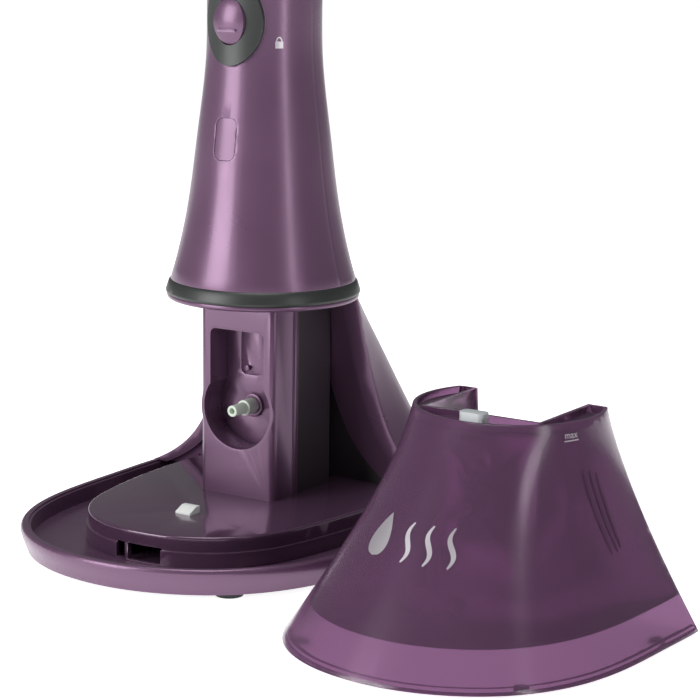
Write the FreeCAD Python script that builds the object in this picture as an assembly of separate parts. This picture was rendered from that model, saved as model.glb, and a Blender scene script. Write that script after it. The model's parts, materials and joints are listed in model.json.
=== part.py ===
import FreeCAD, Part
import math
import os

# Upright steam floor cleaner with a lift-off, wrap-around water tank.
# Millimetres. +Z is up, the front faces -Y, and the origin is on the floor under the tower's axis.
# The tank stands on the floor beside the machine, as it does when it is taken off to be filled.

V = FreeCAD.Vector

# ---- driving dimensions ----------------------------------------------------------------------
WALL = 2.5                # moulded wall of the covers
FIT = 0.3                 # gap round anything that slides
FOOT_LIFT = 3.0           # rubber feet below the base plate

# foot: half outline from the front (0, -y) round the +X side to the back
FOOT_HALF = [(0, -167), (43, -159), (79, -136), (102, -102), (112.5, -65),
             (117, 0), (117, 58), (103, 98), (64, 119), (0, 126)]
RIM_TOP = 18.5            # top of the raised rim
RIM_WIDTH = 6.0
RIM_STEP = 1.6            # lower inner step of the rim, the fine line inside it
LEDGE_TOP = 7.8           # ledge that carries the docked tank
BASE_PLATE = 2.0

# D-shaped platform inside the rim
PLATFORM_HALF = [(0, -126), (27, -122), (50.5, -107.5), (65.7, -86),
                 (73, -62), (77, -40), (80, -14), (81, 50)]
PLATFORM_TOP = 26.4
PLATFORM_STEP = 17.2      # height of the step line round its wall
PLATFORM_STEP_OUT = 1.2
LATCH_Y = -77.0
LATCH_SIZE = (11.0, 10.0, 4.2)
LATCH_TRAVEL = 3.0

# core between the foot and the tower
CORE_HALF = 27.6
CORE_FRONT = -27.3
CORE_BACK = 36.0
CORE_SPLIT = -4.0         # front cover against the dark rear half
NOZZLE_Z = 80.0           # height of the water inlet
RECESS_R = 24.6           # round part of the keyhole recess
RECESS_HALF = 20.0        # its upright part
RECESS_TOP = 129.0
RECESS_DEPTH = 18.0
NOZZLE_R = 3.5
NOZZLE_LENGTH = 12.0
NOZZLE_BODY_R = 4.8       # thicker root of the nozzle
SENSOR_X = -2.0           # tongue that feels the docked tank
SENSOR_TRAVEL = 2.5

# tower
RING_BOTTOM = 146.8
BAND_BOTTOM = 149.8
BAND_TOP = 158.3
BAND_R = 56.5
TOWER_TOP = 350.0
TOWER = [(BAND_R, BAND_TOP), (51.0, 178.8), (44.6, 212.4), (40.6, 244.0), (34.9, 296.0), (34.5, 318.0),
         (34.5, TOWER_TOP)]
SIDE_FLARE = (2, 7)       # powers of the hollow sweep at the two sides
BACK_FLARE = 1.8          # power of the full, round sweep at the back
SKIRT_R = 58.0
REAR_CUT_TOP = 28.5       # front edge of the rear shell, top and bottom
REAR_CUT_FOOT = 42.0
BULKHEAD_BACK = 10.0      # how far the bulkhead stands behind that edge
FLANGE = 11.0             # flat front edge of the shell
SEAL_FLANGE = 34.0        # wider, recessed flange inside it
SEAL_BACK = 3.5

# controls
BEZEL_Z = 315.0
BEZEL = (20.0, 26.0)      # half width, half height
BEZEL_PROUD = 2.0
THUMB = (11.0, 14.0)
THUMB_FRONT = -39.5
THUMB_TRAVEL = 3.0
STEAM_Z = 246.0
STEAM_BUTTON = (7.4, 12.4)
STEAM_CORNER = 5.0
STEAM_TRAVEL = 2.0
ROCKER_Z = 206.0
INLET_Z = 176.0
INLET_R = 8.0
INLET_BORE = 3.6

# handle
STEM_R = 12.0
STEM_WALL = 1.5
STEM_BOTTOM = 144.0
STEM_TOP = 422.0
GUIDE_BOTTOM = 138.0
GUIDE_WALL = 2.0
GRIP_Z = 477.0            # middle of the loop
GRIP_STRAIGHT = 18.0
GRIP_BEND = 32.0
GRIP_TUBE = 11.5

# tank, in its own frame: z = 0 is what it stands on, x and y are the machine's when it is docked
TANK_PARK = V(216.0, -75.0, 0)
TANK_H = 121.0
TANK_R = 52.5
TANK_SCALE = 0.85         # foot of the tank against the machine's foot outline
TANK_FOOT = 2.0
TANK_FLANGE = 5.0
TANK_WALL = 2.2
TANK_FLOOR = 20.5
TANK_LIP = 4.0            # lid plate below the lip
TANK_CUT_TOP = 25.0
TANK_CUT_FOOT = 36.0
TANK_FLARE = (1.38, 1.05)  # powers of the tank's sweep to the sides and to the front
TANK_GAP = 2.5            # between the tank's inner wall and the core's front
TANK_SIDE_GAP = 7.0       # the same at the core's sides
PORT_Z = NOZZLE_Z - LEDGE_TOP
PORT_R = 9.0
PORT_BORE = 5.3
TUBE_R = 3.5
PLUG_AT = (2.0, -42.0)
PLUG_R = 7.0


# ---- helpers ---------------------------------------------------------------------------------
def box(x0, x1, y0, y1, z0, z1):
    return Part.makeBox(x1 - x0, y1 - y0, z1 - z0, V(x0, y0, z0))


def cyl(x, y, z, r, length, axis=V(0, 0, 1)):
    return Part.makeCylinder(r, length, V(x, y, z), axis)


def ring(x, y, z, r_out, r_in, length, axis=V(0, 0, 1)):
    return cyl(x, y, z, r_out, length, axis).cut(cyl(x, y, z, r_in, length, axis))


def fuse(first, *others):
    return first.multiFuse(list(others))


def cut(first, *tools):
    return first.cut(list(tools))


def rounded(shape, r, axis, keep=lambda middle: True):
    """Round the straight edges of a shape that run along axis, where keep says so."""
    chosen = []
    for edge in shape.Edges:
        run = edge.Vertexes[-1].Point - edge.Vertexes[0].Point
        if run.Length > 0 and run.cross(axis).Length < 1e-6 and keep(edge.CenterOfMass):
            chosen.append(edge)
    return shape.makeFillet(r, chosen)


def mirrored(half):
    """A closed outline, counter-clockwise from above, out of its +X half."""
    return half + [(-x, y) for x, y in reversed(half[1:-1])]


def inset_points(points, inset, closed=True):
    """Move each point of a counter-clockwise outline inwards along its own normal."""
    moved = []
    last = len(points) - 1
    for i, (x, y) in enumerate(points):
        before = points[i - 1] if closed or i > 0 else points[i]
        after = points[(i + 1) % len(points)] if closed or i < last else points[i]
        tx, ty = after[0] - before[0], after[1] - before[1]
        length = math.hypot(tx, ty)
        moved.append((x - inset * ty / length, y + inset * tx / length))
    return moved


def smooth_wire(points, z):
    curve = Part.BSplineCurve()
    curve.interpolate(Points=[V(x, y, z) for x, y in points], PeriodicFlag=True)
    return Part.Wire(curve.toShape())


def foot_wire(z, inset=0.0, scale=1.0):
    points = [(scale * x, scale * y) for x, y in mirrored(FOOT_HALF)]
    return smooth_wire(inset_points(points, inset), z)


def prism(wire, height):
    return Part.Face(wire).extrude(V(0, 0, height))


def bell(z_foot, z_top, r_top, scale, inset, flare):
    """Solid that spreads from a circle at z_top into the foot's outline at z_foot."""
    wires = []
    steps = 11
    for i in range(steps):
        t = 1 - (1 - i / (steps - 1)) ** 1.5
        along_x, along_y = flare(t)
        points = []
        for x, y in mirrored(FOOT_HALF):
            a = math.atan2(y, x)
            points.append(((1 - along_x) * r_top * math.cos(a) + along_x * scale * x,
                           (1 - along_y) * r_top * math.sin(a) + along_y * scale * y))
        wires.append(smooth_wire(inset_points(points, inset), z_top + t * (z_foot - z_top)))
    return Part.makeLoft(wires, True)


def shell_flare(t):
    """How far the rear shell has spread to the sides and to the back, t of the way down."""
    return sum(t ** power for power in SIDE_FLARE) / len(SIDE_FLARE), 1 - (1 - t) ** BACK_FLARE


def tank_flare(t):
    return t ** TANK_FLARE[0], t ** TANK_FLARE[1]


def side_prism(points, half_width):
    """A (y, z) polygon drawn out to both sides of the middle plane."""
    corners = [V(-half_width, y, z) for y, z in points]
    return Part.Face(Part.makePolygon(corners + corners[:1])).extrude(V(2 * half_width, 0, 0))


def revolve(profile):
    """An (r, z) polygon turned about the tower's axis."""
    corners = [V(r, 0, z) for r, z in profile]
    return Part.Face(Part.makePolygon(corners + corners[:1])).revolve(V(0, 0, 0), V(0, 0, 1), 360)


def ellipse_prism(z, half, y0, y1):
    """An upright ellipse at height z, drawn out along Y; half is its half width and half height."""
    major = Part.Ellipse(V(0, y0, z + half[1]), V(half[0], y0, z), V(0, y0, z))
    return Part.Face(Part.Wire(major.toShape())).extrude(V(0, y1 - y0, 0))


def rounded_prism(x, z, half, corner, y0, y1):
    """An upright rectangle with round corners, drawn out along Y."""
    return rounded(box(x - half[0], x + half[0], y0, y1, z - half[1], z + half[1]), corner, V(0, 1, 0))


def pipe(points, bend, r_out):
    """A round rod along straight runs joined by tangent arcs of one bend radius."""
    nodes = [V(*p) for p in points]
    edges = []
    start = nodes[0]
    for before, corner, after in zip(nodes, nodes[1:], nodes[2:]):
        d_in = (corner - before).normalize()
        d_out = (after - corner).normalize()
        reach = bend * math.tan(d_in.getAngle(d_out) / 2)
        a, b = corner - d_in * reach, corner + d_out * reach
        middle_way = (d_out - d_in).normalize()
        centre = corner + middle_way * (bend / math.cos(d_in.getAngle(d_out) / 2))
        edges.append(Part.LineSegment(start, a).toShape())
        edges.append(Part.Arc(a, centre - middle_way * bend, b).toShape())
        start = b
    edges.append(Part.LineSegment(start, nodes[-1]).toShape())
    path = Part.Wire(edges)
    profile = Part.Wire(Part.makeCircle(r_out, nodes[0], nodes[1] - nodes[0]))
    rod = path.makePipeShell([profile], True, False)
    print("pipe: volume over section x length = %.4f" % (rod.Volume / (math.pi * r_out ** 2 * path.Length)))
    return rod


def rear_cut(z):
    return REAR_CUT_TOP + (REAR_CUT_FOOT - REAR_CUT_TOP) * (RING_BOTTOM - z) / (RING_BOTTOM - RIM_TOP)


def rear_slab(from_cut, to_cut):
    """The slice between two planes parallel to the rear shell's front edge."""
    low, high = 0.0, RING_BOTTOM + 20
    return side_prism([(rear_cut(low) + from_cut, low), (rear_cut(low) + to_cut, low),
                       (rear_cut(high) + to_cut, high), (rear_cut(high) + from_cut, high)], 200)


parts = {}


# ---- foot ------------------------------------------------------------------------------------
SCREWS = [(x, y) for x in (-60, 60) for y in (-62, 24)]
SCREW_R = 1.6
screw_holes = [cyl(x, y, 0, SCREW_R, 16) for x, y in SCREWS]
OUTLET = (0.0, -60.0)     # where the steam pipe meets the sole plate
OUTLET_R = 5.0

shell = Part.makeLoft([foot_wire(FOOT_LIFT, 4.0), foot_wire(9.0, 1.8), foot_wire(14.5, 0.0),
                       foot_wire(RIM_TOP - 1.2, 0.2), foot_wire(RIM_TOP, 1.2)], True)
ledge_bottom = LEDGE_TOP - WALL
parts["foot_cover"] = cut(shell,
                          prism(foot_wire(LEDGE_TOP, RIM_WIDTH), RIM_TOP),
                          prism(foot_wire(RIM_TOP - 1.2, RIM_WIDTH - RIM_STEP), RIM_TOP),
                          prism(foot_wire(0, RIM_WIDTH + 1.5), ledge_bottom),
                          box(-48, 48, -90, 48, 0, RIM_TOP), *screw_holes)

parts["base_plate"] = cut(prism(foot_wire(FOOT_LIFT, RIM_WIDTH + 1.8), BASE_PLATE),
                          cyl(OUTLET[0], OUTLET[1], 0, OUTLET_R + FIT, RIM_TOP), *screw_holes)

FEET = [(0, 0), (67, -127), (-67, -127), (92, 60), (-92, 60)]
parts["rubber_feet"] = Part.makeCompound([cyl(x, y, 0, 8.0, FOOT_LIFT) for x, y in FEET])

parts["base_screws"] = Part.makeCompound(
    [fuse(cyl(x, y, FOOT_LIFT - 1.6, 3.0, 1.6), cyl(x, y, FOOT_LIFT, SCREW_R, 12)) for x, y in SCREWS])

sole = box(-52, 52, -88, -34, 1.2, FOOT_LIFT)
sole = rounded(sole, 8.0, V(0, 0, 1))
steam_holes = [cyl(x, OUTLET[1] + s * 14, 0, 1.5, RIM_TOP) for x in range(-40, 41, 16) for s in (-1, 1)]
sole = fuse(sole, cyl(OUTLET[0], OUTLET[1], FOOT_LIFT, OUTLET_R, 5))
parts["sole_plate"] = cut(sole, cyl(OUTLET[0], OUTLET[1], 2.4, 2.0, 10), *steam_holes)


# ---- platform --------------------------------------------------------------------------------
def platform_face(z, inset):
    half = PLATFORM_HALF
    points = inset_points([(-x, y) for x, y in reversed(half[1:])] + half, inset, closed=False)
    curve = Part.BSplineCurve()
    curve.interpolate(Points=[V(x, y, z) for x, y in points])
    back = Part.LineSegment(V(*points[-1], z), V(*points[0], z))
    return Part.Face(Part.Wire([curve.toShape(), back.toShape()]))


lower = platform_face(LEDGE_TOP, -PLATFORM_STEP_OUT).extrude(V(0, 0, PLATFORM_STEP - LEDGE_TOP))
upper = platform_face(PLATFORM_STEP, 0).extrude(V(0, 0, PLATFORM_TOP - PLATFORM_STEP))
front_lip = [e for e in upper.Edges if e.BoundBox.ZMin > PLATFORM_TOP - 0.01 and e.BoundBox.YMin < -100]
upper = upper.makeFillet(1.6, front_lip)
hollow = platform_face(LEDGE_TOP, WALL).extrude(V(0, 0, PLATFORM_TOP - WALL - LEDGE_TOP))
posts = [cyl(x, y, LEDGE_TOP, 4.0, PLATFORM_TOP - WALL - LEDGE_TOP) for x, y in SCREWS]
latch_hole = box(-LATCH_SIZE[0] / 2 - FIT, LATCH_SIZE[0] / 2 + FIT, LATCH_Y - LATCH_SIZE[1] / 2 - FIT,
                 LATCH_Y + LATCH_SIZE[1] / 2 + FIT, LEDGE_TOP, PLATFORM_TOP + 1)
window = box(-15, 17, -135, -112, LEDGE_TOP + 1.0, PLATFORM_STEP + 1.0)
rib = box(-8, -6, -127, -123, LEDGE_TOP, PLATFORM_STEP + 1.0)
platform = fuse(cut(fuse(lower, upper), hollow, window), rib, *posts)
parts["platform"] = cut(platform, latch_hole, *screw_holes)

# white wedge latch: rises out of the platform, and sinks as the tank slides over it
half_x, half_y = LATCH_SIZE[0] / 2, LATCH_SIZE[1] / 2
latch_foot = PLATFORM_TOP - WALL - LATCH_TRAVEL - 3.0
wedge = side_prism([(LATCH_Y - half_y, latch_foot), (LATCH_Y + half_y, latch_foot),
                    (LATCH_Y + half_y, PLATFORM_TOP + LATCH_SIZE[2]),
                    (LATCH_Y + half_y - 3.5, PLATFORM_TOP + LATCH_SIZE[2]),
                    (LATCH_Y - half_y, PLATFORM_TOP + 1.2)], half_x)
parts["platform_latch"] = wedge
parts["latch_spring"] = ring(0, LATCH_Y, LEDGE_TOP + 1.0, 4.0, 3.2, latch_foot - LEDGE_TOP - 1.0)
parts["latch_seat"] = cut(box(-9, 9, LATCH_Y - 9, LATCH_Y + 9, FOOT_LIFT + BASE_PLATE, LEDGE_TOP + 1.0),
                          cyl(OUTLET[0], OUTLET[1], 0, OUTLET_R + FIT, RIM_TOP))

# ---- rear shell and bulkhead -----------------------------------------------------------------
bell_outer = bell(RIM_TOP, RING_BOTTOM, SKIRT_R, 1.0, 0.6, shell_flare)
bell_inner = bell(RIM_TOP, RING_BOTTOM, SKIRT_R, 1.0, 0.6 + WALL, shell_flare)
bell_lip = bell(RIM_TOP, RING_BOTTOM, SKIRT_R, 1.0, 0.6 + FLANGE, shell_flare)
bell_seal = bell(RIM_TOP, RING_BOTTOM, SKIRT_R, 1.0, 0.6 + SEAL_FLANGE, shell_flare)
core_outside = box(-CORE_HALF - 0.1, CORE_HALF + 0.1, CORE_FRONT, CORE_BACK + 0.1, 0, RING_BOTTOM)
skin = bell_outer.common(rear_slab(0, 300)).cut(bell_inner)
step = bell_outer.common(rear_slab(0, SEAL_BACK + WALL)).cut(bell_lip)
platform_space = platform_face(0, -PLATFORM_STEP_OUT - 0.1).extrude(V(0, 0, PLATFORM_TOP))
seal_slice = bell_outer.common(rear_slab(SEAL_BACK, SEAL_BACK + WALL))
seal_flange = cut(seal_slice, bell_seal, core_outside, platform_space)
parts["rear_shell"] = fuse(skin, step.cut(platform_space), seal_flange)
hose_y = 74.0
hose_z = 90.0
hose_r = 3.0
hose_hole = cyl(0, CORE_BACK - 10, hose_z, hose_r + FIT, 60, V(0, 1, 0))
bell_plug = bell(RIM_TOP, RING_BOTTOM, SKIRT_R, 1.0, 0.6 + WALL + 0.1, shell_flare)
bulkhead = fuse(bell_plug, prism(foot_wire(LEDGE_TOP, RIM_WIDTH + 0.1), RIM_TOP - LEDGE_TOP))
pipe_z = 14.0
pipe_r = 2.0
pipe_hole = cyl(OUTLET[0], OUTLET[1], pipe_z, pipe_r + FIT, 200, V(0, 1, 0))
parts["rear_bulkhead"] = cut(bulkhead.common(rear_slab(BULKHEAD_BACK, BULKHEAD_BACK + WALL)), hose_hole,
                             pipe_hole, platform_space, core_outside)

# ---- core with its keyhole recess ------------------------------------------------------------
core = box(-CORE_HALF, CORE_HALF, CORE_FRONT, CORE_BACK, PLATFORM_TOP, RING_BOTTOM)
core = rounded(core, 4.0, V(0, 0, 1))
inside = CORE_HALF - WALL
core = core.cut(box(-inside, inside, CORE_FRONT + WALL, CORE_BACK - WALL, PLATFORM_TOP, RING_BOTTOM))


def keyhole(grow, y0, y1):
    slot = box(-RECESS_HALF - grow, RECESS_HALF + grow, y0, y1, NOZZLE_Z, RECESS_TOP + grow)
    slot = rounded(slot, 4.0 + grow, V(0, 1, 0), lambda middle: middle.z > NOZZLE_Z + 1)
    return fuse(slot, cyl(0, y0, NOZZLE_Z, RECESS_R + grow, y1 - y0, V(0, 1, 0)))


plate_front = CORE_FRONT + RECESS_DEPTH
plate_back = plate_front + 2.0
cup = keyhole(2.0, CORE_FRONT, plate_back)
ribs = [box(s * (CORE_HALF + 0.6) - 0.7, s * (CORE_HALF + 0.6) + 0.7, -7, -3, PLATFORM_TOP, RING_BOTTOM)
        for s in (-1, 1)]
core_shell = fuse(core, cup, *ribs).cut(keyhole(0, CORE_FRONT - 1, plate_back))
parts["core_front"] = core_shell.common(box(-40, 40, -60, CORE_SPLIT, 0, 200))
parts["core_rear"] = cut(core_shell.common(box(-40, 40, CORE_SPLIT, 60, 0, 200)), hose_hole)

sensor_slot = rounded_prism(SENSOR_X, 112.5, (7.6, 14.0), 4.0, plate_front - 1, plate_back + 1)
parts["recess_plate"] = cut(keyhole(-0.05, plate_front, plate_back), sensor_slot,
                            cyl(0, plate_front - 1, NOZZLE_Z, 6.0, 5, V(0, 1, 0)))
tongue = rounded_prism(SENSOR_X, 112.5, (7.6 - FIT, 14.0 - FIT), 4.0 - FIT,
                       plate_front + 0.6, plate_back + 0.6)
parts["sensor_tongue"] = fuse(tongue, cyl(SENSOR_X - 1.5, plate_front - 3, 103.0, 1.6, 4, V(0, 1, 0)))
parts["sensor_switch"] = box(SENSOR_X - 6, SENSOR_X + 6, plate_back + 0.6 + SENSOR_TRAVEL + 0.5, 6, 104, 122)

parts["nozzle_collar"] = cut(fuse(cyl(0, plate_front, NOZZLE_Z, 6.0, 4, V(0, 1, 0)),
                                  cyl(0, plate_front - 2, NOZZLE_Z, 7.2, 2, V(0, 1, 0))),
                             cyl(0, -60, NOZZLE_Z, NOZZLE_BODY_R, 90, V(0, 1, 0)))
nozzle_step = plate_front - 11.0
nozzle_tip = nozzle_step - NOZZLE_LENGTH
nozzle = fuse(cyl(0, nozzle_tip, NOZZLE_Z, NOZZLE_R, NOZZLE_LENGTH, V(0, 1, 0)),
              cyl(0, nozzle_step, NOZZLE_Z, NOZZLE_BODY_R, plate_front + 4 - nozzle_step, V(0, 1, 0)))
parts["inlet_nozzle"] = nozzle.cut(cyl(0, nozzle_tip - 1, NOZZLE_Z, 1.8, 60, V(0, 1, 0)))

# ---- pump, hose, boiler and steam pipe -------------------------------------------------------
PUMP_Y = 12.0
PUMP_R = 14.0
pump_front = plate_front + 4
pump = fuse(cyl(0, PUMP_Y, 34, PUMP_R, 66),
            cyl(0, pump_front, NOZZLE_Z, 4.0, PUMP_Y - pump_front, V(0, 1, 0)),
            cyl(0, PUMP_Y, hose_z, hose_r, PUMP_R + 5, V(0, 1, 0)))
parts["pump"] = pump
parts["pump_cradle"] = cut(box(-17, 17, PUMP_Y - 17, PUMP_Y + 17, PLATFORM_TOP, 38),
                           cyl(0, PUMP_Y, 34, PUMP_R, 10))

BOILER = (36.0, 68.0, 90.0, 30.0, 62.0)     # half width, front, back, bottom, top
boiler = box(-BOILER[0], BOILER[0], BOILER[1], BOILER[2], BOILER[3], BOILER[4])
parts["boiler"] = boiler.makeFillet(4.0, boiler.Edges)
parts["boiler_bracket"] = Part.makeCompound(
    [box(s * 26 - 4, s * 26 + 4, BOILER[1] + 4, BOILER[2] - 4, LEDGE_TOP, BOILER[3]) for s in (-1, 1)])
parts["thermostat"] = fuse(cyl(-20, 79, BOILER[4], 8, 3), cyl(-20, 79, BOILER[4] + 3, 5.5, 3))
parts["pump_hose"] = pipe([(0, PUMP_Y + PUMP_R + 5, hose_z), (0, hose_y, hose_z), (0, hose_y, BOILER[4])],
                          12.0, hose_r)
parts["steam_pipe"] = pipe([(0, 79, BOILER[3]), (0, 79, pipe_z), (OUTLET[0], OUTLET[1], pipe_z),
                            (OUTLET[0], OUTLET[1], FOOT_LIFT + 5)], 5.0, pipe_r)

# ---- tower -----------------------------------------------------------------------------------
guide_r = STEM_R + FIT
guide_out = guide_r + GUIDE_WALL
cable_hole = cyl(32, 20, RING_BOTTOM - 1, 5.0, 20)
parts["lower_ring"] = cut(revolve([(guide_out, RING_BOTTOM), (SKIRT_R, RING_BOTTOM),
                                   (SKIRT_R + 0.8, RING_BOTTOM + 1.2),
                                   (SKIRT_R + 0.6, BAND_BOTTOM), (guide_out, BAND_BOTTOM)]), cable_hole)
parts["band_ring"] = revolve([(42, BAND_BOTTOM), (BAND_R + 2.6, BAND_BOTTOM),
                              (BAND_R + 3.0, BAND_BOTTOM + 1.5),
                              (BAND_R + 1.2, BAND_TOP - 1.4), (BAND_R, BAND_TOP), (42, BAND_TOP)])


def tower_solid(inset):
    """The tower's own round solid, drawn in by inset."""
    curve = Part.BSplineCurve()
    curve.interpolate(Points=[V(r - inset, 0, z) for r, z in TOWER])
    foot, top = TOWER[0], TOWER[-1]
    corners = [V(top[0] - inset, 0, top[1]), V(0, 0, top[1]), V(0, 0, foot[1]), V(foot[0] - inset, 0, foot[1])]
    lines = Part.makePolygon(corners)
    return Part.Face(Part.Wire([curve.toShape()] + lines.Edges)).revolve(V(0, 0, 0), V(0, 0, 1), 360)


def steam_cut(grow, y0, y1):
    half = (STEAM_BUTTON[0] + grow, STEAM_BUTTON[1] + grow)
    return rounded_prism(0, STEAM_Z, half, STEAM_CORNER + grow, y0, y1)


bezel_hole = ellipse_prism(BEZEL_Z, BEZEL, -60, -20)
rocker_hole = box(-10, 10, 30, 70, ROCKER_Z - 15, ROCKER_Z + 15)
inlet_hole = cyl(0, 30, INLET_Z, INLET_R, 60, V(0, 1, 0))
tower_shell = cut(tower_solid(0), tower_solid(WALL), bezel_hole, steam_cut(FIT, -60, -20),
                  rocker_hole, inlet_hole)
parts["upper_body_front"] = tower_shell.common(box(-80, 80, -80, 0, 0, 400))
parts["upper_body_rear"] = tower_shell.common(box(-80, 80, 0, 80, 0, 400))

parts["guide_tube"] = cut(ring(0, 0, GUIDE_BOTTOM, guide_out, guide_r, TOWER_TOP + 2 - GUIDE_BOTTOM),
                          box(-4.4, 4.4, 0, 40, BEZEL_Z - 6.6, BEZEL_Z + 6.6))
neck_in = TOWER[-1][0] - WALL
parts["neck_collar"] = revolve([(guide_out, TOWER_TOP - 5), (guide_out, TOWER_TOP + 2),
                                (guide_r, TOWER_TOP + 2),
                                (guide_r, TOWER_TOP + 14), (19, TOWER_TOP + 14), (29, TOWER_TOP + 10),
                                (TOWER[-1][0], TOWER_TOP + 2.5), (TOWER[-1][0], TOWER_TOP), (neck_in, TOWER_TOP),
                                (neck_in, TOWER_TOP - 5)])

# ---- controls --------------------------------------------------------------------------------
bezel = ellipse_prism(BEZEL_Z, BEZEL, -60, -20).common(tower_solid(-BEZEL_PROUD)).cut(tower_solid(WALL + 1.0))
parts["button_bezel"] = bezel.cut(ellipse_prism(BEZEL_Z, THUMB, -60, -10))
thumb = ellipse_prism(BEZEL_Z, (THUMB[0] - FIT, THUMB[1] - FIT), THUMB_FRONT, -30)
dome_r = 26.0
parts["thumb_button"] = thumb.common(Part.makeSphere(dome_r, V(0, THUMB_FRONT + dome_r, BEZEL_Z)))

arm_x = guide_out + 1.2
arms = [box(s * (arm_x + 1) - 1, s * (arm_x + 1) + 1, -20, 19, BEZEL_Z - 6, BEZEL_Z + 6) for s in (-1, 1)]
parts["brake_yoke"] = fuse(box(-8, 8, -30, -20, BEZEL_Z - 6, BEZEL_Z + 6),
                           box(-arm_x - 2, arm_x + 2, -20, -18, BEZEL_Z - 6, BEZEL_Z + 6),
                           box(-arm_x - 2, arm_x + 2, 17, 19, BEZEL_Z - 6, BEZEL_Z + 6), *arms)
parts["brake_shoe"] = box(-4, 4, STEM_R + 0.35, 17, BEZEL_Z - 6, BEZEL_Z + 6)

parts["steam_button"] = steam_cut(0, -60, -34).common(tower_solid(0.25))
parts["steam_switch"] = fuse(box(-6, 6, -31, -22, STEAM_Z - 9, STEAM_Z + 9))
parts["switch_bracket"] = box(-9, 9, -22, -20, STEAM_Z - 14, STEAM_Z + 14)

frame = box(-10, 10, 37, 48.5, ROCKER_Z - 15, ROCKER_Z + 15)
pocket = box(-7.2, 7.2, 39, 60, ROCKER_Z - 11.5, ROCKER_Z + 11.5)
parts["switch_frame"] = rounded(frame, 2.0, V(0, 1, 0)).cut(pocket)
rocker = box(-6.6, 6.6, 42, 49.5, ROCKER_Z - 10, ROCKER_Z + 10)
parts["power_rocker"] = rocker.makeFillet(1.2, rocker.Edges)
inlet = fuse(cyl(0, 46, INLET_Z, INLET_R, 14, V(0, 1, 0)), cyl(0, 43, INLET_Z, INLET_R + 2, 3, V(0, 1, 0)))
parts["power_inlet"] = inlet.cut(cyl(0, 40, INLET_Z, INLET_BORE, 30, V(0, 1, 0)))
parts["control_board"] = box(-24, 24, 19, 20.6, 186, 262)
parts["board_parts"] = Part.makeCompound([box(-16, -4, 20.6, 30, 240, 254), box(2, 18, 20.6, 28, 236, 256),
                                          box(-18, 18, 20.6, 26, 192, 206)])

# ---- telescopic stem and loop grip -----------------------------------------------------------
parts["handle_stem"] = ring(0, 0, STEM_BOTTOM, STEM_R, STEM_R - STEM_WALL, STEM_TOP - STEM_BOTTOM)


def loop(r):
    """A racetrack loop of round section r, in the Y-Z plane."""
    pieces = [cyl(0, s * GRIP_BEND, GRIP_Z - GRIP_STRAIGHT, r, 2 * GRIP_STRAIGHT) for s in (-1, 1)]
    for s in (-1, 1):
        torus = Part.makeTorus(GRIP_BEND, r, V(0, 0, GRIP_Z + s * GRIP_STRAIGHT), V(1, 0, 0))
        low = GRIP_Z + GRIP_STRAIGHT if s > 0 else GRIP_Z - GRIP_STRAIGHT - 100
        pieces.append(torus.common(box(-50, 50, -90, 90, low, low + 100)))
    return fuse(*pieces)


grip_foot = GRIP_Z - GRIP_STRAIGHT - GRIP_BEND
boss = cyl(0, 0, grip_foot - 22, 16.0, 22)
boss = boss.makeFillet(2.0, [e for e in boss.Edges if e.BoundBox.ZMax < grip_foot - 21])
grip = cut(fuse(loop(GRIP_TUBE), boss), loop(GRIP_TUBE - WALL).cut(cyl(0, 0, grip_foot - 24, 18, 28)),
           cyl(0, 0, grip_foot - 30, STEM_R, STEM_TOP - grip_foot + 30))
parts["grip_left"] = grip.common(box(-60, 0, -90, 90, 300, 700))
parts["grip_right"] = grip.common(box(0, 60, -90, 90, 300, 700))
pad_angle = 110.0
pad_ring = Part.makeTorus(GRIP_BEND, GRIP_TUBE + 1.4, V(0, 0, GRIP_Z + GRIP_STRAIGHT), V(1, 0, 0))
pad_reach = math.tan(math.radians(pad_angle / 2)) * 60
wedge_cut = side_prism([(0, GRIP_Z + GRIP_STRAIGHT), (pad_reach, GRIP_Z + GRIP_STRAIGHT + 60),
                        (-pad_reach, GRIP_Z + GRIP_STRAIGHT + 60)], 60)
parts["grip_pad"] = pad_ring.common(wedge_cut).cut(loop(GRIP_TUBE))

# ---- tank ------------------------------------------------------------------------------------
tank_rear = [(TANK_CUT_FOOT, 0), (TANK_CUT_TOP, TANK_H), (TANK_CUT_TOP - 3, TANK_H + 20),
             (-300, TANK_H + 20), (-300, 0)]


def tank_front_of(back_off):
    """Everything in front of the tank's rear ends, drawn forward by back_off."""
    return side_prism([(y - back_off if y > 0 else y, z) for y, z in tank_rear], 200)


def core_space(grow, z0, z1):
    side = CORE_HALF + TANK_SIDE_GAP + grow
    return box(-side, side, CORE_FRONT - TANK_GAP - grow, 200, z0, z1)


tank_outer = bell(TANK_FOOT, TANK_H, TANK_R, TANK_SCALE, 0.0, tank_flare)
tank_inner = bell(TANK_FOOT, TANK_H, TANK_R, TANK_SCALE, TANK_WALL, tank_flare)
skirt_ring = bell(TANK_FOOT, TANK_H, TANK_R, TANK_SCALE, TANK_FLANGE, tank_flare)
shell = tank_outer.cut(tank_inner)
base_flange = tank_outer.cut(skirt_ring).common(box(-200, 200, -200, 200, TANK_FOOT, TANK_FOOT + 2.4))
tank_shell = fuse(shell, base_flange).common(tank_front_of(0))
parts["tank_shell"] = tank_shell.cut(core_space(0, 0, TANK_H + 10))

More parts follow.
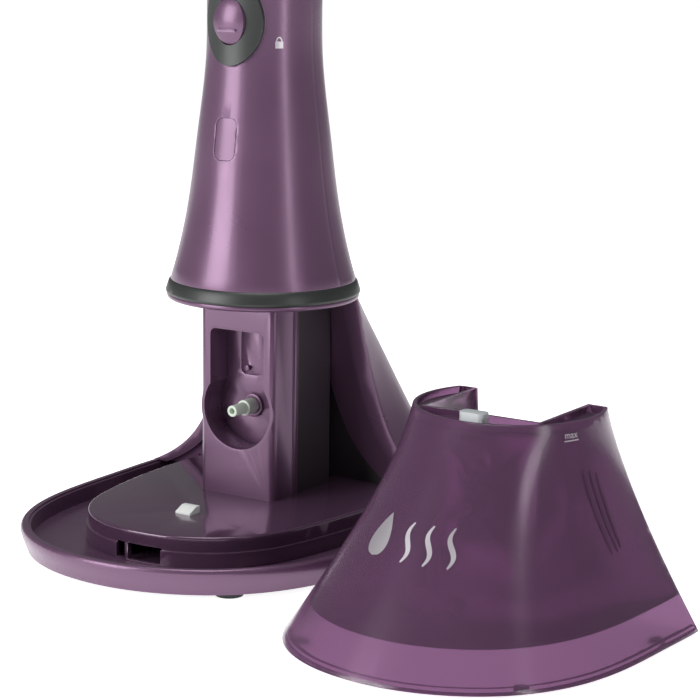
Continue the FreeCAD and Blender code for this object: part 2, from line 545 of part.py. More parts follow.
lid_bottom = TANK_H - TANK_LIP - TANK_WALL
chamber = tank_inner.common(tank_front_of(0))
wall_block = chamber.common(box(-200, 200, -200, 200, TANK_FLOOR, TANK_H)).cut(core_space(0, 0, TANK_H + 10))
hollow = chamber.common(tank_front_of(TANK_WALL)).cut(core_space(TANK_WALL, 0, TANK_H + 10))
port_y = CORE_FRONT - TANK_GAP - TANK_WALL
port_hole = cyl(0, port_y - 30, PORT_Z, PORT_R, 60, V(0, 1, 0))
BOSSES = [(4.0, 25.0, 5.0), (-1.0, 41.0, 2.2)]     # x, height above the port, radius
bosses = [cyl(x, port_y - 3, PORT_Z + up, r, 3, V(0, 1, 0)) for x, up, r in BOSSES]
parts["tank_inner_wall"] = fuse(wall_block.cut(hollow), *bosses).cut(port_hole)

plug_hole = cyl(PLUG_AT[0], PLUG_AT[1], lid_bottom - 20, PLUG_R, 60)
lid_slice = box(-200, 200, -200, 200, lid_bottom, lid_bottom + TANK_WALL)
parts["tank_lid"] = cut(hollow.common(lid_slice), plug_hole, parts["tank_inner_wall"])
parts["tank_floor"] = hollow.common(box(-200, 200, -200, 200, TANK_FLOOR, TANK_FLOOR + TANK_WALL))
plug_x, plug_y = PLUG_AT
parts["filler_neck"] = ring(plug_x, plug_y, lid_bottom - 6, PLUG_R, PLUG_R - 1.5, 6 + TANK_WALL + 1.5)
plug_tab = box(plug_x - 7.5, plug_x + 7.5, plug_y - 4.5, plug_y + 4.5, lid_bottom + TANK_WALL + 2.5,
               lid_bottom + TANK_WALL + 7.5)
plug_tab = rounded(plug_tab, 3.0, V(0, 0, 1))
parts["filler_plug"] = fuse(cyl(plug_x, plug_y, lid_bottom - 5, PLUG_R - 1.5 - FIT, 5 + TANK_WALL + 2.0),
                            cyl(plug_x, plug_y, lid_bottom + TANK_WALL + 1.8, PLUG_R + 0.6, 1.2), plug_tab)

back = CORE_FRONT + 3.3
seat = port_y - 8.0
port_end = seat - 4.0
port = cyl(0, port_end, PORT_Z, PORT_R, back - port_end, V(0, 1, 0))
parts["port_body"] = cut(port, cyl(0, seat, PORT_Z, PORT_BORE, 60, V(0, 1, 0)),
                         cyl(0, port_end - 1, PORT_Z, 2.2, 60, V(0, 1, 0)))
parts["port_seal"] = ring(0, back - 3, PORT_Z, PORT_BORE, NOZZLE_R + 0.1, 2, V(0, 1, 0))
VALVE_TRAVEL = 2.5
poppet_y = seat + VALVE_TRAVEL + 1.9
parts["valve_poppet"] = fuse(cyl(0, poppet_y, PORT_Z, PORT_BORE - 0.4, 2.0, V(0, 1, 0)),
                             cyl(0, poppet_y - 1.6, PORT_Z, 1.2, 1.7, V(0, 1, 0)))
parts["valve_spring"] = ring(0, seat, PORT_Z, 4.2, 3.2, 1.6, V(0, 1, 0))

tube_y = port_y - 44.0
filter_z = TANK_FLOOR + TANK_WALL + 6.5
parts["pickup_tube"] = pipe([(0, port_end, PORT_Z), (0, tube_y, PORT_Z), (0, tube_y, filter_z + 4.5)],
                            12.0, TUBE_R)
parts["pickup_filter"] = fuse(cyl(-16, tube_y, filter_z, 5.0, 32, V(1, 0, 0)),
                              cyl(0, tube_y, filter_z, 4.6, 4.5),
                              cyl(0, tube_y, TANK_FLOOR + TANK_WALL, 5.5, 4.0)).cut(
    cyl(0, tube_y, filter_z + 4.5, TUBE_R, 20))
PADS = [(-66, -100), (66, -100), (87, 8), (-87, 8)]
parts["tank_feet"] = Part.makeCompound([cyl(x, y, 0, 4.0, TANK_FOOT) for x, y in PADS])

TANK_NODES = ["tank_shell", "tank_inner_wall", "tank_lid", "tank_floor", "filler_neck", "filler_plug",
              "port_body", "port_seal", "valve_poppet", "valve_spring", "pickup_tube", "pickup_filter",
              "tank_feet"]
for name in TANK_NODES:
    parts[name] = parts[name].translated(TANK_PARK)

# ---- write -----------------------------------------------------------------------------------
os.makedirs("parts", exist_ok=True)
for name, shape in parts.items():
    shape.exportStep("parts/%s.step" % name)
    print("%-18s solids %d volume %.0f valid %s" % (name, len(shape.Solids), shape.Volume, shape.isValid()))
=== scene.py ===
import json
import math

import bmesh
import bpy
from mathutils import Matrix, Vector
from mathutils.bvhtree import BVHTree

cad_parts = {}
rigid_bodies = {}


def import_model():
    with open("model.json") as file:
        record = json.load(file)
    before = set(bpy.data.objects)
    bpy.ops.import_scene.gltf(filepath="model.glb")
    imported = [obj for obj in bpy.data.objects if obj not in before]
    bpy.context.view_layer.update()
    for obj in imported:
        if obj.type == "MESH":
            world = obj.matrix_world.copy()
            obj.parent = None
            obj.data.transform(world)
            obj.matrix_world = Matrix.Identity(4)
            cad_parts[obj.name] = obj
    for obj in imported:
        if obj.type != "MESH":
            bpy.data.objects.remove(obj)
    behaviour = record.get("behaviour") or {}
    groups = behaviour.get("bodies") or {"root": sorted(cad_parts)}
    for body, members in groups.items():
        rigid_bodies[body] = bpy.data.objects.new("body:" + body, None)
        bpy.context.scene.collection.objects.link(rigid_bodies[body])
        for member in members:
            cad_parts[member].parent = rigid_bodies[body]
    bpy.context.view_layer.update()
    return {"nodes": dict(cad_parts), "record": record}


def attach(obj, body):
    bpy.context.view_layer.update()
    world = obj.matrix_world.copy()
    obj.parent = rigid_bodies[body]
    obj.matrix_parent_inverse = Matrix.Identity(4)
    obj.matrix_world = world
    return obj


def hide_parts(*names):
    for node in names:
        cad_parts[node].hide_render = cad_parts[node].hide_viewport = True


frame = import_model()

# ---- studio ----------------------------------------------------------------------------------
# A pale table under soft boxes, with the camera above the front right of the machine.
# The world is white to the camera and grey to everything else, so gloss keeps its dark side.
scene = bpy.context.scene
scene.view_settings.view_transform = "Standard"

CAMERA_TURN = math.radians(35.1)
CAMERA_DISTANCE = 1.448
CAMERA_HEIGHT = 0.4016
CAMERA_YAW = math.radians(-2.12)
CAMERA_PITCH = math.radians(11.26)
CAMERA_ROLL = math.radians(0.73)
CAMERA_LENS = 123.4

camera_data = bpy.data.cameras.new("camera")
camera_data.lens = CAMERA_LENS
camera_data.sensor_width = 36
camera = bpy.data.objects.new("camera", camera_data)
scene.collection.objects.link(camera)
scene.camera = camera
aim = CAMERA_TURN + CAMERA_YAW
forward = Vector((-math.sin(aim) * math.cos(CAMERA_PITCH), math.cos(aim) * math.cos(CAMERA_PITCH),
                  -math.sin(CAMERA_PITCH)))
level = Vector((math.cos(aim), math.sin(aim), 0))
upward = level.cross(forward)
right = math.cos(CAMERA_ROLL) * level + math.sin(CAMERA_ROLL) * upward
top = math.cos(CAMERA_ROLL) * upward - math.sin(CAMERA_ROLL) * level
camera.matrix_world = Matrix((right, top, -forward)).transposed().to_4x4()
camera.location = (math.sin(CAMERA_TURN) * CAMERA_DISTANCE, -math.cos(CAMERA_TURN) * CAMERA_DISTANCE,
                   CAMERA_HEIGHT)

world = bpy.data.worlds.new("studio")
scene.world = world
world.use_nodes = True
world_nodes = world.node_tree.nodes
world_links = world.node_tree.links
seen = world_nodes.new("ShaderNodeBackground")
seen.inputs["Color"].default_value = (1, 1, 1, 1)
ambient = world_nodes["Background"]
ambient.inputs["Color"].default_value = (0.34, 0.34, 0.35, 1)
ambient.inputs["Strength"].default_value = 0.5
rays = world_nodes.new("ShaderNodeLightPath")
choose = world_nodes.new("ShaderNodeMixShader")
world_links.new(rays.outputs["Is Camera Ray"], choose.inputs["Fac"])
world_links.new(ambient.outputs["Background"], choose.inputs[1])
world_links.new(seen.outputs["Background"], choose.inputs[2])
world_links.new(choose.outputs["Shader"], world_nodes["World Output"].inputs["Surface"])

SOFT_BOXES = {
    "wide_box": ((-0.80, -1.55, 0.75), (0.0, 0.0, 0.18), (1.0, 1.2), 26.0),
    "edge_box": ((1.45, -0.42, 0.55), (0.05, 0.0, 0.2), (0.22, 1.1), 4.0),
    "top_box": ((0.1, -0.3, 1.7), (0.1, 0.0, 0.0), (1.0, 1.0), 14.0),
}
for name, (place, target, size, power) in SOFT_BOXES.items():
    light_data = bpy.data.lights.new(name, "AREA")
    light_data.shape = "RECTANGLE"
    light_data.size, light_data.size_y = size
    light_data.energy = power
    light = bpy.data.objects.new(name, light_data)
    scene.collection.objects.link(light)
    light.location = place
    light.rotation_euler = (Vector(target) - Vector(place)).to_track_quat("-Z", "Y").to_euler()

FLOOR_HALF = 6.0
floor_mesh = bpy.data.meshes.new("floor")
floor_corners = [(x * FLOOR_HALF, y * FLOOR_HALF, 0) for x, y in ((-1, -1), (1, -1), (1, 1), (-1, 1))]
floor_mesh.from_pydata(floor_corners, [], [(0, 1, 2, 3)])
floor = bpy.data.objects.new("floor", floor_mesh)
scene.collection.objects.link(floor)
floor_paint = bpy.data.materials.new("floor_paint")
floor_paint.use_nodes = True
floor_paint.node_tree.nodes["Principled BSDF"].inputs["Base Color"].default_value = (0.93, 0.93, 0.935, 1)
floor_paint.node_tree.nodes["Principled BSDF"].inputs["Roughness"].default_value = 0.75
floor_paint.node_tree.nodes["Principled BSDF"].inputs["Emission Color"].default_value = (1, 1, 1, 1)
floor_paint.node_tree.nodes["Principled BSDF"].inputs["Emission Strength"].default_value = 0.86
floor_mesh.materials.append(floor_paint)


# ---- foot --------------------------------------------------------------------------------------
# The foot is an injection-moulded tub with a raised rim, in a satin purple lacquer, on rubber pads.
# Its finish, cloudy colour with worn edges and fine grain, is shared by most of the other mouldings.
def new_group(name, inputs, outputs):
    """An empty shader group with float inputs {name: default} and outputs {name: socket type}."""
    group = bpy.data.node_groups.new(name, "ShaderNodeTree")
    for label, value in inputs.items():
        socket = group.interface.new_socket(label, in_out="INPUT", socket_type="NodeSocketFloat")
        socket.default_value = value
    for label, kind in outputs.items():
        group.interface.new_socket(label, in_out="OUTPUT", socket_type=kind)
    return group, group.nodes.new("NodeGroupInput"), group.nodes.new("NodeGroupOutput")


def edge_wear_group():
    """Mask that is 1 along rounded edges, broken up by noise."""
    group, given, result = new_group("edge_wear", {"Width": 0.0006, "Breakup": 90.0},
                                     {"Mask": "NodeSocketFloat"})
    nodes, links = group.nodes, group.links
    soft = nodes.new("ShaderNodeBevel")
    soft.samples = 4
    geometry = nodes.new("ShaderNodeNewGeometry")
    dot = nodes.new("ShaderNodeVectorMath")
    dot.operation = "DOT_PRODUCT"
    spread = nodes.new("ShaderNodeMapRange")
    spread.inputs["From Min"].default_value = 0.995
    spread.inputs["From Max"].default_value = 0.90
    coords = nodes.new("ShaderNodeTexCoord")
    noise = nodes.new("ShaderNodeTexNoise")
    noise.inputs["Detail"].default_value = 4
    times = nodes.new("ShaderNodeMath")
    times.operation = "MULTIPLY"
    links.new(given.outputs["Width"], soft.inputs["Radius"])
    links.new(soft.outputs["Normal"], dot.inputs[0])
    links.new(geometry.outputs["Normal"], dot.inputs[1])
    links.new(dot.outputs["Value"], spread.inputs["Value"])
    links.new(coords.outputs["Object"], noise.inputs["Vector"])
    links.new(given.outputs["Breakup"], noise.inputs["Scale"])
    links.new(spread.outputs["Result"], times.inputs[0])
    links.new(noise.outputs["Fac"], times.inputs[1])
    links.new(times.outputs["Value"], result.inputs["Mask"])
    return group


def handling_group():
    """Smudges and fine dust: a slow value for colour, a quick one for roughness, a height for bump."""
    group, given, result = new_group("handling", {"Smudge Scale": 14.0, "Grain Scale": 900.0},
                                     {"Cloud": "NodeSocketFloat", "Smudge": "NodeSocketFloat",
                                      "Grain": "NodeSocketFloat"})
    nodes, links = group.nodes, group.links
    coords = nodes.new("ShaderNodeTexCoord")
    cloud = nodes.new("ShaderNodeTexNoise")
    cloud.inputs["Scale"].default_value = 5.0
    cloud.inputs["Detail"].default_value = 2
    smudge = nodes.new("ShaderNodeTexNoise")
    smudge.inputs["Detail"].default_value = 6
    smudge.inputs["Distortion"].default_value = 0.6
    grain = nodes.new("ShaderNodeTexNoise")
    grain.inputs["Detail"].default_value = 2
    for noise in (cloud, smudge, grain):
        links.new(coords.outputs["Object"], noise.inputs["Vector"])
    links.new(given.outputs["Smudge Scale"], smudge.inputs["Scale"])
    links.new(given.outputs["Grain Scale"], grain.inputs["Scale"])
    links.new(cloud.outputs["Fac"], result.inputs["Cloud"])
    links.new(smudge.outputs["Fac"], result.inputs["Smudge"])
    links.new(grain.outputs["Fac"], result.inputs["Grain"])
    return group


EDGE_WEAR = edge_wear_group()
HANDLING = handling_group()


def finish_material(name, colour, worn, rough=(0.2, 0.35), metal=0.0, coat=0.0, coat_rough=0.05, bump=0.05,
                    grain=900.0, smudge=14.0, wear_width=0.0005, variation=0.12):
    """A moulded or machined finish: colour that clouds slightly, worn edges, smudged gloss and fine grain."""
    material = bpy.data.materials.new(name)
    material.use_nodes = True
    nodes, links = material.node_tree.nodes, material.node_tree.links
    shader = nodes["Principled BSDF"]
    shader.inputs["Metallic"].default_value = metal
    shader.inputs["Coat Weight"].default_value = coat
    shader.inputs["Coat Roughness"].default_value = coat_rough
    handling = nodes.new("ShaderNodeGroup")
    handling.node_tree = HANDLING
    handling.inputs["Smudge Scale"].default_value = smudge
    handling.inputs["Grain Scale"].default_value = grain
    wear = nodes.new("ShaderNodeGroup")
    wear.node_tree = EDGE_WEAR
    wear.inputs["Width"].default_value = wear_width
    cloud = nodes.new("ShaderNodeMix")
    cloud.data_type = "RGBA"
    cloud.inputs["A"].default_value = (*[c * (1 - variation) for c in colour], 1)
    cloud.inputs["B"].default_value = (*[min(1, c * (1 + variation)) for c in colour], 1)
    edges = nodes.new("ShaderNodeMix")
    edges.data_type = "RGBA"
    edges.inputs["B"].default_value = (*worn, 1)
    gloss = nodes.new("ShaderNodeMapRange")
    gloss.inputs["From Min"].default_value = 0.35
    gloss.inputs["From Max"].default_value = 0.7
    gloss.inputs["To Min"].default_value = rough[0]
    gloss.inputs["To Max"].default_value = rough[1]
    relief = nodes.new("ShaderNodeBump")
    relief.inputs["Strength"].default_value = bump
    relief.inputs["Distance"].default_value = 0.0002
    links.new(handling.outputs["Cloud"], cloud.inputs["Factor"])
    links.new(cloud.outputs["Result"], edges.inputs["A"])
    links.new(wear.outputs["Mask"], edges.inputs["Factor"])
    links.new(edges.outputs["Result"], shader.inputs["Base Color"])
    links.new(handling.outputs["Smudge"], gloss.inputs["Value"])
    links.new(gloss.outputs["Result"], shader.inputs["Roughness"])
    links.new(handling.outputs["Grain"], relief.inputs["Height"])
    links.new(relief.outputs["Normal"], shader.inputs["Normal"])
    return material


def skin(node, material, body, edge=0.0004, smooth=32.0):
    """The moulded surface of a CAD part: its shape merged, edges rounded and shaded smooth."""
    source = frame["nodes"][node]
    mesh = source.data.copy()
    mesh.materials.clear()
    shape = bmesh.new()
    shape.from_mesh(mesh)
    bmesh.ops.remove_doubles(shape, verts=shape.verts, dist=0.00001)
    bmesh.ops.dissolve_limit(shape, angle_limit=math.radians(0.02), verts=shape.verts, edges=shape.edges)
    shape.to_mesh(mesh)
    shape.free()
    piece = bpy.data.objects.new(node + "_skin", mesh)
    scene.collection.objects.link(piece)
    if edge:
        bevel = piece.modifiers.new("round", "BEVEL")
        bevel.width = edge
        bevel.segments = 2
        bevel.limit_method = "ANGLE"
        bevel.angle_limit = math.radians(smooth)
        bevel.use_clamp_overlap = True
        bevel.harden_normals = False
        made = bpy.data.meshes.new_from_object(piece.evaluated_get(bpy.context.evaluated_depsgraph_get()))
        piece.modifiers.clear()
        piece.data = made
    piece.data.materials.append(material)
    for face in piece.data.polygons:
        face.use_smooth = True
    piece.data.set_sharp_from_angle(angle=math.radians(smooth))
    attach(piece, body)
    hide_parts(node)
    return piece


purple = finish_material("purple_lacquer", (0.138, 0.070, 0.130), (0.30, 0.20, 0.29), rough=(0.27, 0.36),
                         metal=0.45, coat=0.12, coat_rough=0.12, bump=0.05, grain=2200.0)
rubber = finish_material("black_rubber", (0.025, 0.025, 0.026), (0.07, 0.07, 0.07), rough=(0.6, 0.85), bump=0.3)
skin("foot_cover", purple, "base")
skin("rubber_feet", rubber, "base")

# ---- platform and latch ----------------------------------------------------------------------
# A D-shaped box that clips into the foot, moulded in a darker and glossier finish.
# The white acetal wedge in it sinks when the tank slides on.
purple_gloss = finish_material("purple_gloss", (0.085, 0.042, 0.080), (0.22, 0.14, 0.21), rough=(0.12, 0.2),
                               metal=0.3, coat=0.3, coat_rough=0.06, bump=0.03, grain=2200.0)
white = finish_material("white_acetal", (0.66, 0.68, 0.66), (0.8, 0.8, 0.8), rough=(0.35, 0.5), variation=0.04)
skin("platform", purple_gloss, "base")
skin("platform_latch", white, "seat_latch")

# ---- rear shell ------------------------------------------------------------------------------
# The lacquered bell that sweeps from the ring down into the rim of the foot.
# A dull bulkhead closes it behind the core; its near-black colour is painted shade.
# Near-black purple that stands in for the shade inside the cavity: painted shade.
purple_dark = finish_material("purple_shadow", (0.034, 0.026, 0.033), (0.10, 0.08, 0.10), rough=(0.4, 0.52),
                              bump=0.06)
skin("rear_shell", purple, "base")
skin("rear_bulkhead", purple_dark, "base")

# ---- core and water inlet --------------------------------------------------------------------
# The square column that carries the tower, lacquered in front and dull behind, where its near-black colour is
# painted shade.
# Its keyhole recess holds the milky inlet nozzle and the tongue that feels the tank.
silicone = finish_material("milky_silicone", (0.62, 0.71, 0.60), (0.75, 0.8, 0.74), rough=(0.35, 0.5),
                           variation=0.04)
skin("core_front", purple, "base")
# The rear half takes the near-black painted-shade colour.
skin("core_rear", purple_dark, "base")
skin("recess_plate", purple, "base")
skin("nozzle_collar", purple, "base")
skin("sensor_tongue", purple, "tank_sensor")
skin("inlet_nozzle", silicone, "base")

# ---- tower -----------------------------------------------------------------------------------
# Two tapering half shells on a thin ring, with a pill-shaped steam button flush in the front.
# They share the foot's lacquer.
skin("lower_ring", purple, "base")
tower_front = skin("upper_body_front", purple, "base")
skin("upper_body_rear", purple, "base")
skin("steam_button", purple, "steam_push")

# ---- band, bezel and switch ------------------------------------------------------------------
# Satin black mouldings: the band under the tower, the oval round the release button,
# the collar at the neck and the power switch.
black_gloss = finish_material("satin_black", (0.020, 0.023, 0.022), (0.08, 0.08, 0.08), rough=(0.34, 0.46))
skin("band_ring", black_gloss, "base")
skin("button_bezel", black_gloss, "base")
skin("neck_collar", black_gloss, "base")
skin("power_rocker", black_gloss, "rocker")
skin("thumb_button", purple, "thumb_release")

# ---- handle ----------------------------------------------------------------------------------
# A brushed steel stem slides out of the neck and ends in a closed loop grip.
# A rubber pad wraps the top of the loop.
steel = finish_material("brushed_steel", (0.52, 0.53, 0.54), (0.75, 0.75, 0.75), rough=(0.22, 0.38), metal=1.0,
                        grain=1400.0, bump=0.08)
skin("handle_stem", steel, "handle")
skin("grip_left", purple, "handle")
skin("grip_right", purple, "handle")
skin("grip_pad", rubber, "handle")

# ---- grip ridges -----------------------------------------------------------------------------
# Thin rubber rings stand round the pad so that a wet hand doesn't slip.
# One ring is drawn once and repeated along the pad's arc.
ridge_tree = bpy.data.node_groups.new("grip_ridges", "GeometryNodeTree")
ridge_tree.interface.new_socket("Geometry", in_out="OUTPUT", socket_type="NodeSocketGeometry")
RIDGE_SIZES = {"Bend": 0.032, "Ring": 0.0128, "Wire": 0.0005}
RIDGE_COUNT = 6
GRIP_BEND_HEIGHT = 0.495
ridge_sockets = {}
for label in RIDGE_SIZES:
    ridge_sockets[label] = ridge_tree.interface.new_socket(label, in_out="INPUT", socket_type="NodeSocketFloat")
ridge_sockets["Count"] = ridge_tree.interface.new_socket("Count", in_out="INPUT", socket_type="NodeSocketInt")
ridge_nodes = ridge_tree.nodes
ridge_in = ridge_nodes.new("NodeGroupInput")
arc = ridge_nodes.new("GeometryNodeCurveArc")
arc.inputs["Start Angle"].default_value = math.radians(50)
arc.inputs["Sweep Angle"].default_value = math.radians(80)
upright = ridge_nodes.new("GeometryNodeTransform")
upright.inputs["Translation"].default_value = (0, 0, GRIP_BEND_HEIGHT)
upright.inputs["Rotation"].default_value = (math.radians(90), 0, math.radians(90))
hoop = ridge_nodes.new("GeometryNodeCurvePrimitiveCircle")
hoop.inputs["Resolution"].default_value = 64
wire = ridge_nodes.new("GeometryNodeCurvePrimitiveCircle")
wire.inputs["Resolution"].default_value = 10
sweep = ridge_nodes.new("GeometryNodeCurveToMesh")
tangent = ridge_nodes.new("GeometryNodeInputTangent")
align = ridge_nodes.new("FunctionNodeAlignRotationToVector")
align.axis = "Z"
repeat = ridge_nodes.new("GeometryNodeInstanceOnPoints")
realize = ridge_nodes.new("GeometryNodeRealizeInstances")
paint = ridge_nodes.new("GeometryNodeSetMaterial")
paint.inputs["Material"].default_value = rubber
ridge_out = ridge_nodes.new("NodeGroupOutput")
for source, target in ((ridge_in.outputs["Count"], arc.inputs["Resolution"]),
                       (ridge_in.outputs["Bend"], arc.inputs["Radius"]),
                       (ridge_in.outputs["Ring"], hoop.inputs["Radius"]),
                       (ridge_in.outputs["Wire"], wire.inputs["Radius"]),
                       (arc.outputs["Curve"], upright.inputs["Geometry"]),
                       (upright.outputs["Geometry"], repeat.inputs["Points"]),
                       (hoop.outputs["Curve"], sweep.inputs["Curve"]),
                       (wire.outputs["Curve"], sweep.inputs["Profile Curve"]),
                       (sweep.outputs["Mesh"], repeat.inputs["Instance"]),
                       (tangent.outputs["Tangent"], align.inputs["Vector"]),
                       (align.outputs["Rotation"], repeat.inputs["Rotation"]),
                       (repeat.outputs["Instances"], realize.inputs["Geometry"]),
                       (realize.outputs["Geometry"], paint.inputs["Geometry"]),
                       (paint.outputs["Geometry"], ridge_out.inputs["Geometry"])):
    ridge_tree.links.new(source, target)
grip_ridges = bpy.data.objects.new("grip_ridges", bpy.data.meshes.new("grip_ridges"))
scene.collection.objects.link(grip_ridges)
ridge_maker = grip_ridges.modifiers.new("ridges", "NODES")
ridge_maker.node_group = ridge_tree
for label, size in RIDGE_SIZES.items():
    ridge_maker[ridge_sockets[label].identifier] = size
ridge_maker[ridge_sockets["Count"].identifier] = RIDGE_COUNT
ridge_mesh = bpy.data.meshes.new_from_object(grip_ridges.evaluated_get(bpy.context.evaluated_depsgraph_get()))
grip_ridges.modifiers.clear()
grip_ridges.data = ridge_mesh
for face in ridge_mesh.polygons:
    face.use_smooth = True
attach(grip_ridges, "handle")

# ---- tank ------------------------------------------------------------------------------------
# A clear moulding tinted purple: outer shell, inner wall round the core, lid and floor.
# A milky tube leads from the port down to its filter.
def tinted_clear(name, colour, rough):
    material = bpy.data.materials.new(name)
    material.use_nodes = True
    nodes, links = material.node_tree.nodes, material.node_tree.links
    shader = nodes["Principled BSDF"]
    shader.inputs["Transmission Weight"].default_value = 0.8
    shader.inputs["IOR"].default_value = 1.45
    handling = nodes.new("ShaderNodeGroup")
    handling.node_tree = HANDLING
    tint = nodes.new("ShaderNodeMix")
    tint.data_type = "RGBA"
    tint.inputs["A"].default_value = (*[c * 0.94 for c in colour], 1)
    tint.inputs["B"].default_value = (*[min(1, c * 1.06) for c in colour], 1)
    gloss = nodes.new("ShaderNodeMapRange")
    gloss.inputs["From Min"].default_value = 0.35
    gloss.inputs["From Max"].default_value = 0.7
    gloss.inputs["To Min"].default_value = rough[0]
    gloss.inputs["To Max"].default_value = rough[1]
    links.new(handling.outputs["Cloud"], tint.inputs["Factor"])
    links.new(tint.outputs["Result"], shader.inputs["Base Color"])
    links.new(handling.outputs["Smudge"], gloss.inputs["Value"])
    links.new(gloss.outputs["Result"], shader.inputs["Roughness"])
    return material


TANK_AXIS = (0.216, -0.075)
milky = finish_material("milky_tube", (0.85, 0.78, 0.85), (0.9, 0.86, 0.9), rough=(0.3, 0.45), variation=0.06)
grey = finish_material("grey_plug", (0.42, 0.44, 0.45), (0.6, 0.6, 0.6), rough=(0.35, 0.5), variation=0.05)
tank_clear = tinted_clear("tank_clear", (0.27, 0.128, 0.255), (0.15, 0.22))
tank_shell = skin("tank_shell", tank_clear, "tank")
WELD_GAP = 0.00006
for node in ("tank_inner_wall", "tank_lid", "tank_floor", "filler_neck", "port_body"):
    inner = skin(node, tank_clear, "tank").data
    for vertex in inner.vertices:
        vertex.co -= vertex.normal * WELD_GAP
skin("tank_feet", purple_dark, "tank")
skin("pickup_tube", milky, "tank")
skin("pickup_filter", milky, "tank")
skin("filler_plug", grey, "plug")

# ---- pictogram on the tank -------------------------------------------------------------------
# A foil-stamped water drop and three wisps of steam that follow the tank's curved front.
# They are drawn flat, as turn and height, then dropped onto the shell from outside.
foil = finish_material("silver_foil", (0.48, 0.45, 0.48), (0.6, 0.58, 0.6), rough=(0.3, 0.42), metal=0.7,
                       bump=0.02)


ACROSS = (-1, -0.6, -0.2, 0.2, 0.6, 1)     # vertices across a band, from edge to edge


def ribbons(name, strokes):
    """Flat bands along strokes, each a list of points and a width at every point."""
    flat = bmesh.new()
    for points, widths in strokes:
        rows = []
        for i, (x, y) in enumerate(points):
            x0, y0 = points[max(i - 1, 0)]
            x1, y1 = points[min(i + 1, len(points) - 1)]
            run = math.hypot(x1 - x0, y1 - y0)
            side = Vector((y0 - y1, x1 - x0, 0)) * (widths[i] / 2 / run)
            rows.append([flat.verts.new(Vector((x, y, 0)) + side * across) for across in ACROSS])
        for row, following in zip(rows, rows[1:]):
            for a, b, c, d in zip(row, following, following[1:], row[1:]):
                flat.faces.new((a, b, c, d))
    mesh = bpy.data.meshes.new(name)
    flat.to_mesh(mesh)
    flat.free()
    return mesh


def drop_on(mesh, shell, axis, turn, height, radius, thick, material, body):
    """Wrap a flat mesh round a vertical axis and rest it on the shell, thick metres proud."""
    surface = BVHTree.FromObject(shell, bpy.context.evaluated_depsgraph_get())
    for vertex in mesh.vertices:
        angle = turn + vertex.co.x / radius
        out = Vector((math.sin(angle), -math.cos(angle), 0))
        level = Vector((axis[0], axis[1], height + vertex.co.y))
        vertex.co = surface.ray_cast(level + out * 0.3, -out)[0] + out * thick
    piece = bpy.data.objects.new(mesh.name, mesh)
    scene.collection.objects.link(piece)
    thickness = piece.modifiers.new("thickness", "SOLIDIFY")
    thickness.thickness = thick * 1.6
    thickness.offset = -1
    made = bpy.data.meshes.new_from_object(piece.evaluated_get(bpy.context.evaluated_depsgraph_get()))
    piece.modifiers.clear()
    piece.data = made
    made.materials.append(material)
    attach(piece, body)
    return piece


MARK_LIFT = 0.00012
PICTOGRAM_HEIGHT = 0.064
PICTOGRAM_RADIUS = 0.075
WISPS = (-0.006, 0.004, 0.014)
steps = [i / 24 for i in range(25)]
drop = ([(-0.0215, -0.0095 + 0.020 * s) for s in steps],
        [0.0002 + 0.028 * math.sqrt(s) * (1 - s) for s in steps])
waves = [([(x + 0.0016 * math.sin(2 * math.pi * s), -0.009 + 0.018 * s) for s in steps],
          [0.0007 + 0.0016 * math.sin(math.pi * s) for s in steps]) for x in WISPS]
drop_on(ribbons("tank_pictogram", [drop] + waves), tank_shell, TANK_AXIS, math.radians(1), PICTOGRAM_HEIGHT,
        PICTOGRAM_RADIUS, MARK_LIFT, foil, "tank")

# ---- padlock on the tower --------------------------------------------------------------------
# A small foil padlock beside the release button: a square body under a round shackle.
PADLOCK_TURN = math.radians(49.5)
PADLOCK_HEIGHT = 0.303
NECK_RADIUS = 0.035
shackle = [(0.0016 * math.cos(math.pi * s), 0.0008 + 0.0024 * math.sin(math.pi * s)) for s in steps]
lock_body = [(0, -0.0032), (0, 0.0008)]
drop_on(ribbons("padlock_mark", [(shackle, [0.0007] * 25), (lock_body, [0.0048] * 2)]),
        tower_front, (0, 0), PADLOCK_TURN, PADLOCK_HEIGHT, NECK_RADIUS, 0.0001, foil, "base")

# ---- finger ribs on the tank -----------------------------------------------------------------
# Three raised lines down the side of the tank, where it is held.
# Each runs from one turn and height, in degrees and metres, to another.
rib_ends = [((70, 0.094), (77, 0.056)), ((75, 0.093), (81, 0.056)), ((80, 0.091), (84, 0.057))]
RIB_PROUD = 0.0006
rib_width = [0.015 * math.sin(math.pi * s) ** 0.3 + 0.001 for s in steps]
rib_lines = [([(math.radians(a + (c - a) * s), b + (d - b) * s) for s in steps], rib_width)
             for (a, b), (c, d) in rib_ends]
drop_on(ribbons("tank_finger_ribs", rib_lines), tank_shell, TANK_AXIS, 0.0, 0.0, 1.0, RIB_PROUD,
        tank_clear, "tank")

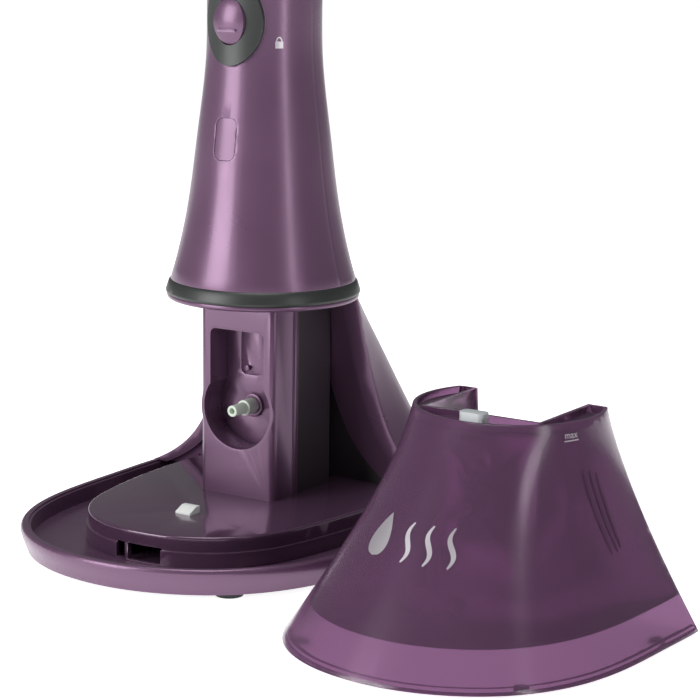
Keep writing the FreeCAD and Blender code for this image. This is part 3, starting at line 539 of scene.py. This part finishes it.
# ---- fill mark -------------------------------------------------------------------------------
# The generic word for the highest water level, over its line, near the top of the tank.
MAX_TURN = math.radians(66)
MAX_HEIGHT = 0.113
TANK_TOP_RADIUS = 0.055
word = bpy.data.curves.new("fill_word", "FONT")
word.body = "max"
word.size = 0.0052
word.align_x = "CENTER"
word_thing = bpy.data.objects.new("fill_word", word)
word_mesh = bpy.data.meshes.new_from_object(word_thing)
word_mesh.name = "fill_mark"
bpy.data.objects.remove(word_thing)
underline = ribbons("underline", [([(-0.005 + 0.010 * s, -0.0012) for s in steps], [0.0006] * 25)])
both = bmesh.new()
both.from_mesh(word_mesh)
both.from_mesh(underline)
both.to_mesh(word_mesh)
both.free()
drop_on(word_mesh, tank_shell, TANK_AXIS, MAX_TURN, MAX_HEIGHT, TANK_TOP_RADIUS, MARK_LIFT, foil, "tank")

# ---- thumb ridge -----------------------------------------------------------------------------
# One raised bar across the release button, where the thumb presses.
# It moves with the button.
RIDGE_BAR = (0.0135, 0.0018, 0.0016)
RIDGE_BAR_AT = (0, -0.0392, 0.3098)
bar = bmesh.new()
bmesh.ops.create_cube(bar, size=1.0)
bmesh.ops.scale(bar, vec=RIDGE_BAR, verts=bar.verts)
bmesh.ops.bevel(bar, geom=bar.edges[:], offset=0.0005, segments=3, affect="EDGES")
bmesh.ops.translate(bar, vec=RIDGE_BAR_AT, verts=bar.verts)
bar_mesh = bpy.data.meshes.new("thumb_ridge")
bar.to_mesh(bar_mesh)
bar.free()
thumb_ridge = bpy.data.objects.new("thumb_ridge", bar_mesh)
scene.collection.objects.link(thumb_ridge)
bar_mesh.materials.append(purple)
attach(thumb_ridge, "thumb_release")

# ---- everything inside -----------------------------------------------------------------------
# Hidden pieces keep their CAD surface and take the finish of their material.
cast = finish_material("cast_aluminium", (0.42, 0.43, 0.44), (0.65, 0.65, 0.65), rough=(0.4, 0.6), metal=0.9,
                       grain=500.0, bump=0.35)
black_plastic = finish_material("black_fine_texture", (0.04, 0.04, 0.042), (0.12, 0.12, 0.12), rough=(0.45, 0.6),
                                bump=0.25)
board = finish_material("board_green", (0.03, 0.13, 0.06), (0.1, 0.25, 0.12), rough=(0.3, 0.5))
INSIDE = {"steel": steel, "cast_alu": cast, "black_plastic": black_plastic, "rubber_black": rubber,
          "clear_tube": milky, "grey_plastic": grey, "board_green": board, "black_gloss": black_gloss}
slot_of = {part["node"]: part["material_slot"] for part in frame["record"]["subparts"]}
shown = {piece.name[:-5] for piece in bpy.data.objects if piece.name.endswith("_skin")}
for node, thing in frame["nodes"].items():
    if node not in shown:
        thing.data.materials.clear()
        thing.data.materials.append(INSIDE[slot_of[node]])
